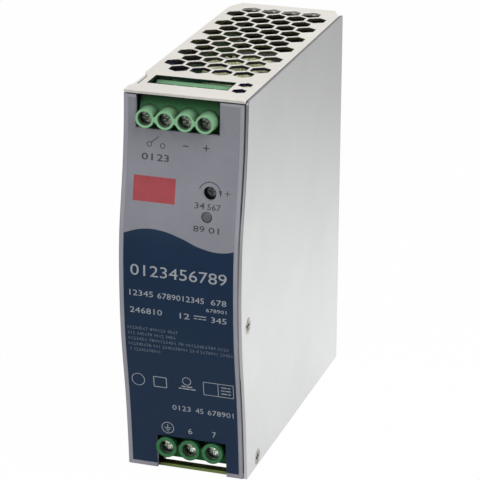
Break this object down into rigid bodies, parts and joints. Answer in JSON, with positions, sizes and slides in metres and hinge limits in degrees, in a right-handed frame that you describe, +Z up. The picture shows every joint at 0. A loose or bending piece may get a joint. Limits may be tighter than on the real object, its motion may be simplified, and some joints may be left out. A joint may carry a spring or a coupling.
{
  "type": "din rail power supply",
  "caption": "Slim box power supply with a bulged front, screw terminals at top and bottom, honeycomb vents and a sprung clip for a 35 mm rail.",
  "frame": {"origin": "centre of the bounding box in plan, on the underside of the case", "axes": "+X to the right seen from the front, +Y to the back, towards the rail, +Z up"},
  "size_m": [0.04, 0.1134, 0.1252],
  "materials": {
    "plated_steel": "satin zinc-plated sheet",
    "zinc_steel": "bright zinc plated",
    "panel_paint": "satin lavender grey paint",
    "label_print": "satin printed film",
    "screw_nickel": "nickel plated",
    "clamp_steel": "nickel plated",
    "contact_tin": "tin plated",
    "spring_wire": "drawn wire",
    "terminal_green": "moulded, satin",
    "board_laminate": "solder mask",
    "insulating_film": "dark translucent film",
    "black_plastic": "moulded",
    "rotor_grey": "moulded",
    "led_lens": "clear diffused lens, unlit",
    "standoff_brass": "turned",
    "heat_aluminium": "milled",
    "ferrite": "sintered",
    "tape_winding": "taped winding",
    "capacitor_sleeve": "shrink sleeve",
    "film_capacitor": "moulded box",
    "ceramic_disc": "dipped coating",
    "fuse_body": "ceramic"
  },
  "bodies": {
    "case": {"adjust_board": "board_laminate", "adjust_connector": "black_plastic", "alarm_relay": "black_plastic", "board_standoffs": "standoff_brass", "boost_choke_coil": "tape_winding", "boost_choke_core": "ferrite", "bottom_plate": "plated_steel", "bridge_rectifier": "black_plastic", "bulk_capacitor": "capacitor_sleeve", "case_chassis": "plated_steel", "case_screws": "screw_nickel", "contact_bars": "contact_tin", "control_board": "board_laminate", "front_board": "board_laminate", "front_label": "label_print", "front_panel": "panel_paint", "heat_spreaders": "heat_aluminium", "input_block": "terminal_green", "input_choke_coils": "tape_winding", "input_choke_core": "ferrite", "input_fuse": "fuse_body", "inrush_thermistor": "ceramic_disc", "insulating_sheets": "insulating_film", "latch_rivets": "screw_nickel", "latch_spring": "spring_wire", "main_board": "board_laminate", "optocouplers": "black_plastic", "output_block": "terminal_green", "output_capacitors": "capacitor_sleeve", "output_choke_coil": "tape_winding", "output_choke_core": "ferrite", "output_rectifiers": "black_plastic", "pan_screws": "screw_nickel", "power_transistors": "black_plastic", "rail_bracket": "zinc_steel", "right_cover": "plated_steel", "status_led": "led_lens", "top_plate": "plated_steel", "transformer_coil": "tape_winding", "transformer_core": "ferrite", "trimmer_body": "black_plastic", "x_capacitor": "film_capacitor", "y_capacitors": "ceramic_disc"},
    "output_screw_1": {"output_screw_1": "screw_nickel"},
    "output_clamp_1": {"output_clamp_1": "clamp_steel"},
    "output_screw_2": {"output_screw_2": "screw_nickel"},
    "output_clamp_2": {"output_clamp_2": "clamp_steel"},
    "output_screw_3": {"output_screw_3": "screw_nickel"},
    "output_clamp_3": {"output_clamp_3": "clamp_steel"},
    "output_screw_4": {"output_screw_4": "screw_nickel"},
    "output_clamp_4": {"output_clamp_4": "clamp_steel"},
    "input_screw_1": {"input_screw_1": "screw_nickel"},
    "input_clamp_1": {"input_clamp_1": "clamp_steel"},
    "input_screw_2": {"input_screw_2": "screw_nickel"},
    "input_clamp_2": {"input_clamp_2": "clamp_steel"},
    "input_screw_3": {"input_screw_3": "screw_nickel"},
    "input_clamp_3": {"input_clamp_3": "clamp_steel"},
    "trimmer_rotor": {"trimmer_rotor": "rotor_grey"},
    "rail_latch": {"rail_latch": "zinc_steel"}
  },
  "joints": [
    {"name": "output_screw_1_turn", "type": "hinge", "parent": "case", "child": "output_screw_1", "pos_m": [-0.012, -0.05025, 0.1175], "axis": [0, 1, 0], "range_deg": [0, 2160.2]},
    {"name": "output_clamp_1_rise", "type": "slide", "parent": "case", "child": "output_clamp_1", "axis": [0, -1, 0], "range_m": [0, 0.003]},
    {"name": "output_screw_2_turn", "type": "hinge", "parent": "case", "child": "output_screw_2", "pos_m": [-0.00563, -0.05025, 0.1175], "axis": [0, 1, 0], "range_deg": [0, 2160.2]},
    {"name": "output_clamp_2_rise", "type": "slide", "parent": "case", "child": "output_clamp_2", "axis": [0, -1, 0], "range_m": [0, 0.003]},
    {"name": "output_screw_3_turn", "type": "hinge", "parent": "case", "child": "output_screw_3", "pos_m": [0.00074, -0.05025, 0.1175], "axis": [0, 1, 0], "range_deg": [0, 2160.2]},
    {"name": "output_clamp_3_rise", "type": "slide", "parent": "case", "child": "output_clamp_3", "axis": [0, -1, 0], "range_m": [0, 0.003]},
    {"name": "output_screw_4_turn", "type": "hinge", "parent": "case", "child": "output_screw_4", "pos_m": [0.00711, -0.05025, 0.1175], "axis": [0, 1, 0], "range_deg": [0, 2160.2]},
    {"name": "output_clamp_4_rise", "type": "slide", "parent": "case", "child": "output_clamp_4", "axis": [0, -1, 0], "range_m": [0, 0.003]},
    {"name": "input_screw_1_turn", "type": "hinge", "parent": "case", "child": "input_screw_1", "pos_m": [-0.0064, -0.05025, 0.00815], "axis": [0, 1, 0], "range_deg": [0, 1800.2]},
    {"name": "input_clamp_1_rise", "type": "slide", "parent": "case", "child": "input_clamp_1", "axis": [0, -1, 0], "range_m": [0, 0.003]},
    {"name": "input_screw_2_turn", "type": "hinge", "parent": "case", "child": "input_screw_2", "pos_m": [0.00126, -0.05025, 0.00815], "axis": [0, 1, 0], "range_deg": [0, 1800.2]},
    {"name": "input_clamp_2_rise", "type": "slide", "parent": "case", "child": "input_clamp_2", "axis": [0, -1, 0], "range_m": [0, 0.003]},
    {"name": "input_screw_3_turn", "type": "hinge", "parent": "case", "child": "input_screw_3", "pos_m": [0.00892, -0.05025, 0.00815], "axis": [0, 1, 0], "range_deg": [0, 1800.2]},
    {"name": "input_clamp_3_rise", "type": "slide", "parent": "case", "child": "input_clamp_3", "axis": [0, -1, 0], "range_m": [0, 0.003]},
    {"name": "trimmer_turn", "type": "hinge", "parent": "case", "child": "trimmer_rotor", "pos_m": [0.0087, -0.05025, 0.09578], "axis": [0, 1, 0], "range_deg": [-130, 130]},
    {"name": "latch_slide", "type": "slide", "parent": "case", "child": "rail_latch", "axis": [0, 0, -1], "range_m": [0, 0.0045], "stiffness_N_per_m": 1200, "springref_m": -0.003, "deforming": ["latch_spring"]}
  ],
  "couplings": [
    {"joint": "output_screw_1_turn", "follows": "output_clamp_1_rise", "rad_per_m": 12566},
    {"joint": "output_screw_2_turn", "follows": "output_clamp_2_rise", "rad_per_m": 12566},
    {"joint": "output_screw_3_turn", "follows": "output_clamp_3_rise", "rad_per_m": 12566},
    {"joint": "output_screw_4_turn", "follows": "output_clamp_4_rise", "rad_per_m": 12566},
    {"joint": "input_screw_1_turn", "follows": "input_clamp_1_rise", "rad_per_m": 10472},
    {"joint": "input_screw_2_turn", "follows": "input_clamp_2_rise", "rad_per_m": 10472},
    {"joint": "input_screw_3_turn", "follows": "input_clamp_3_rise", "rad_per_m": 10472}
  ]
}
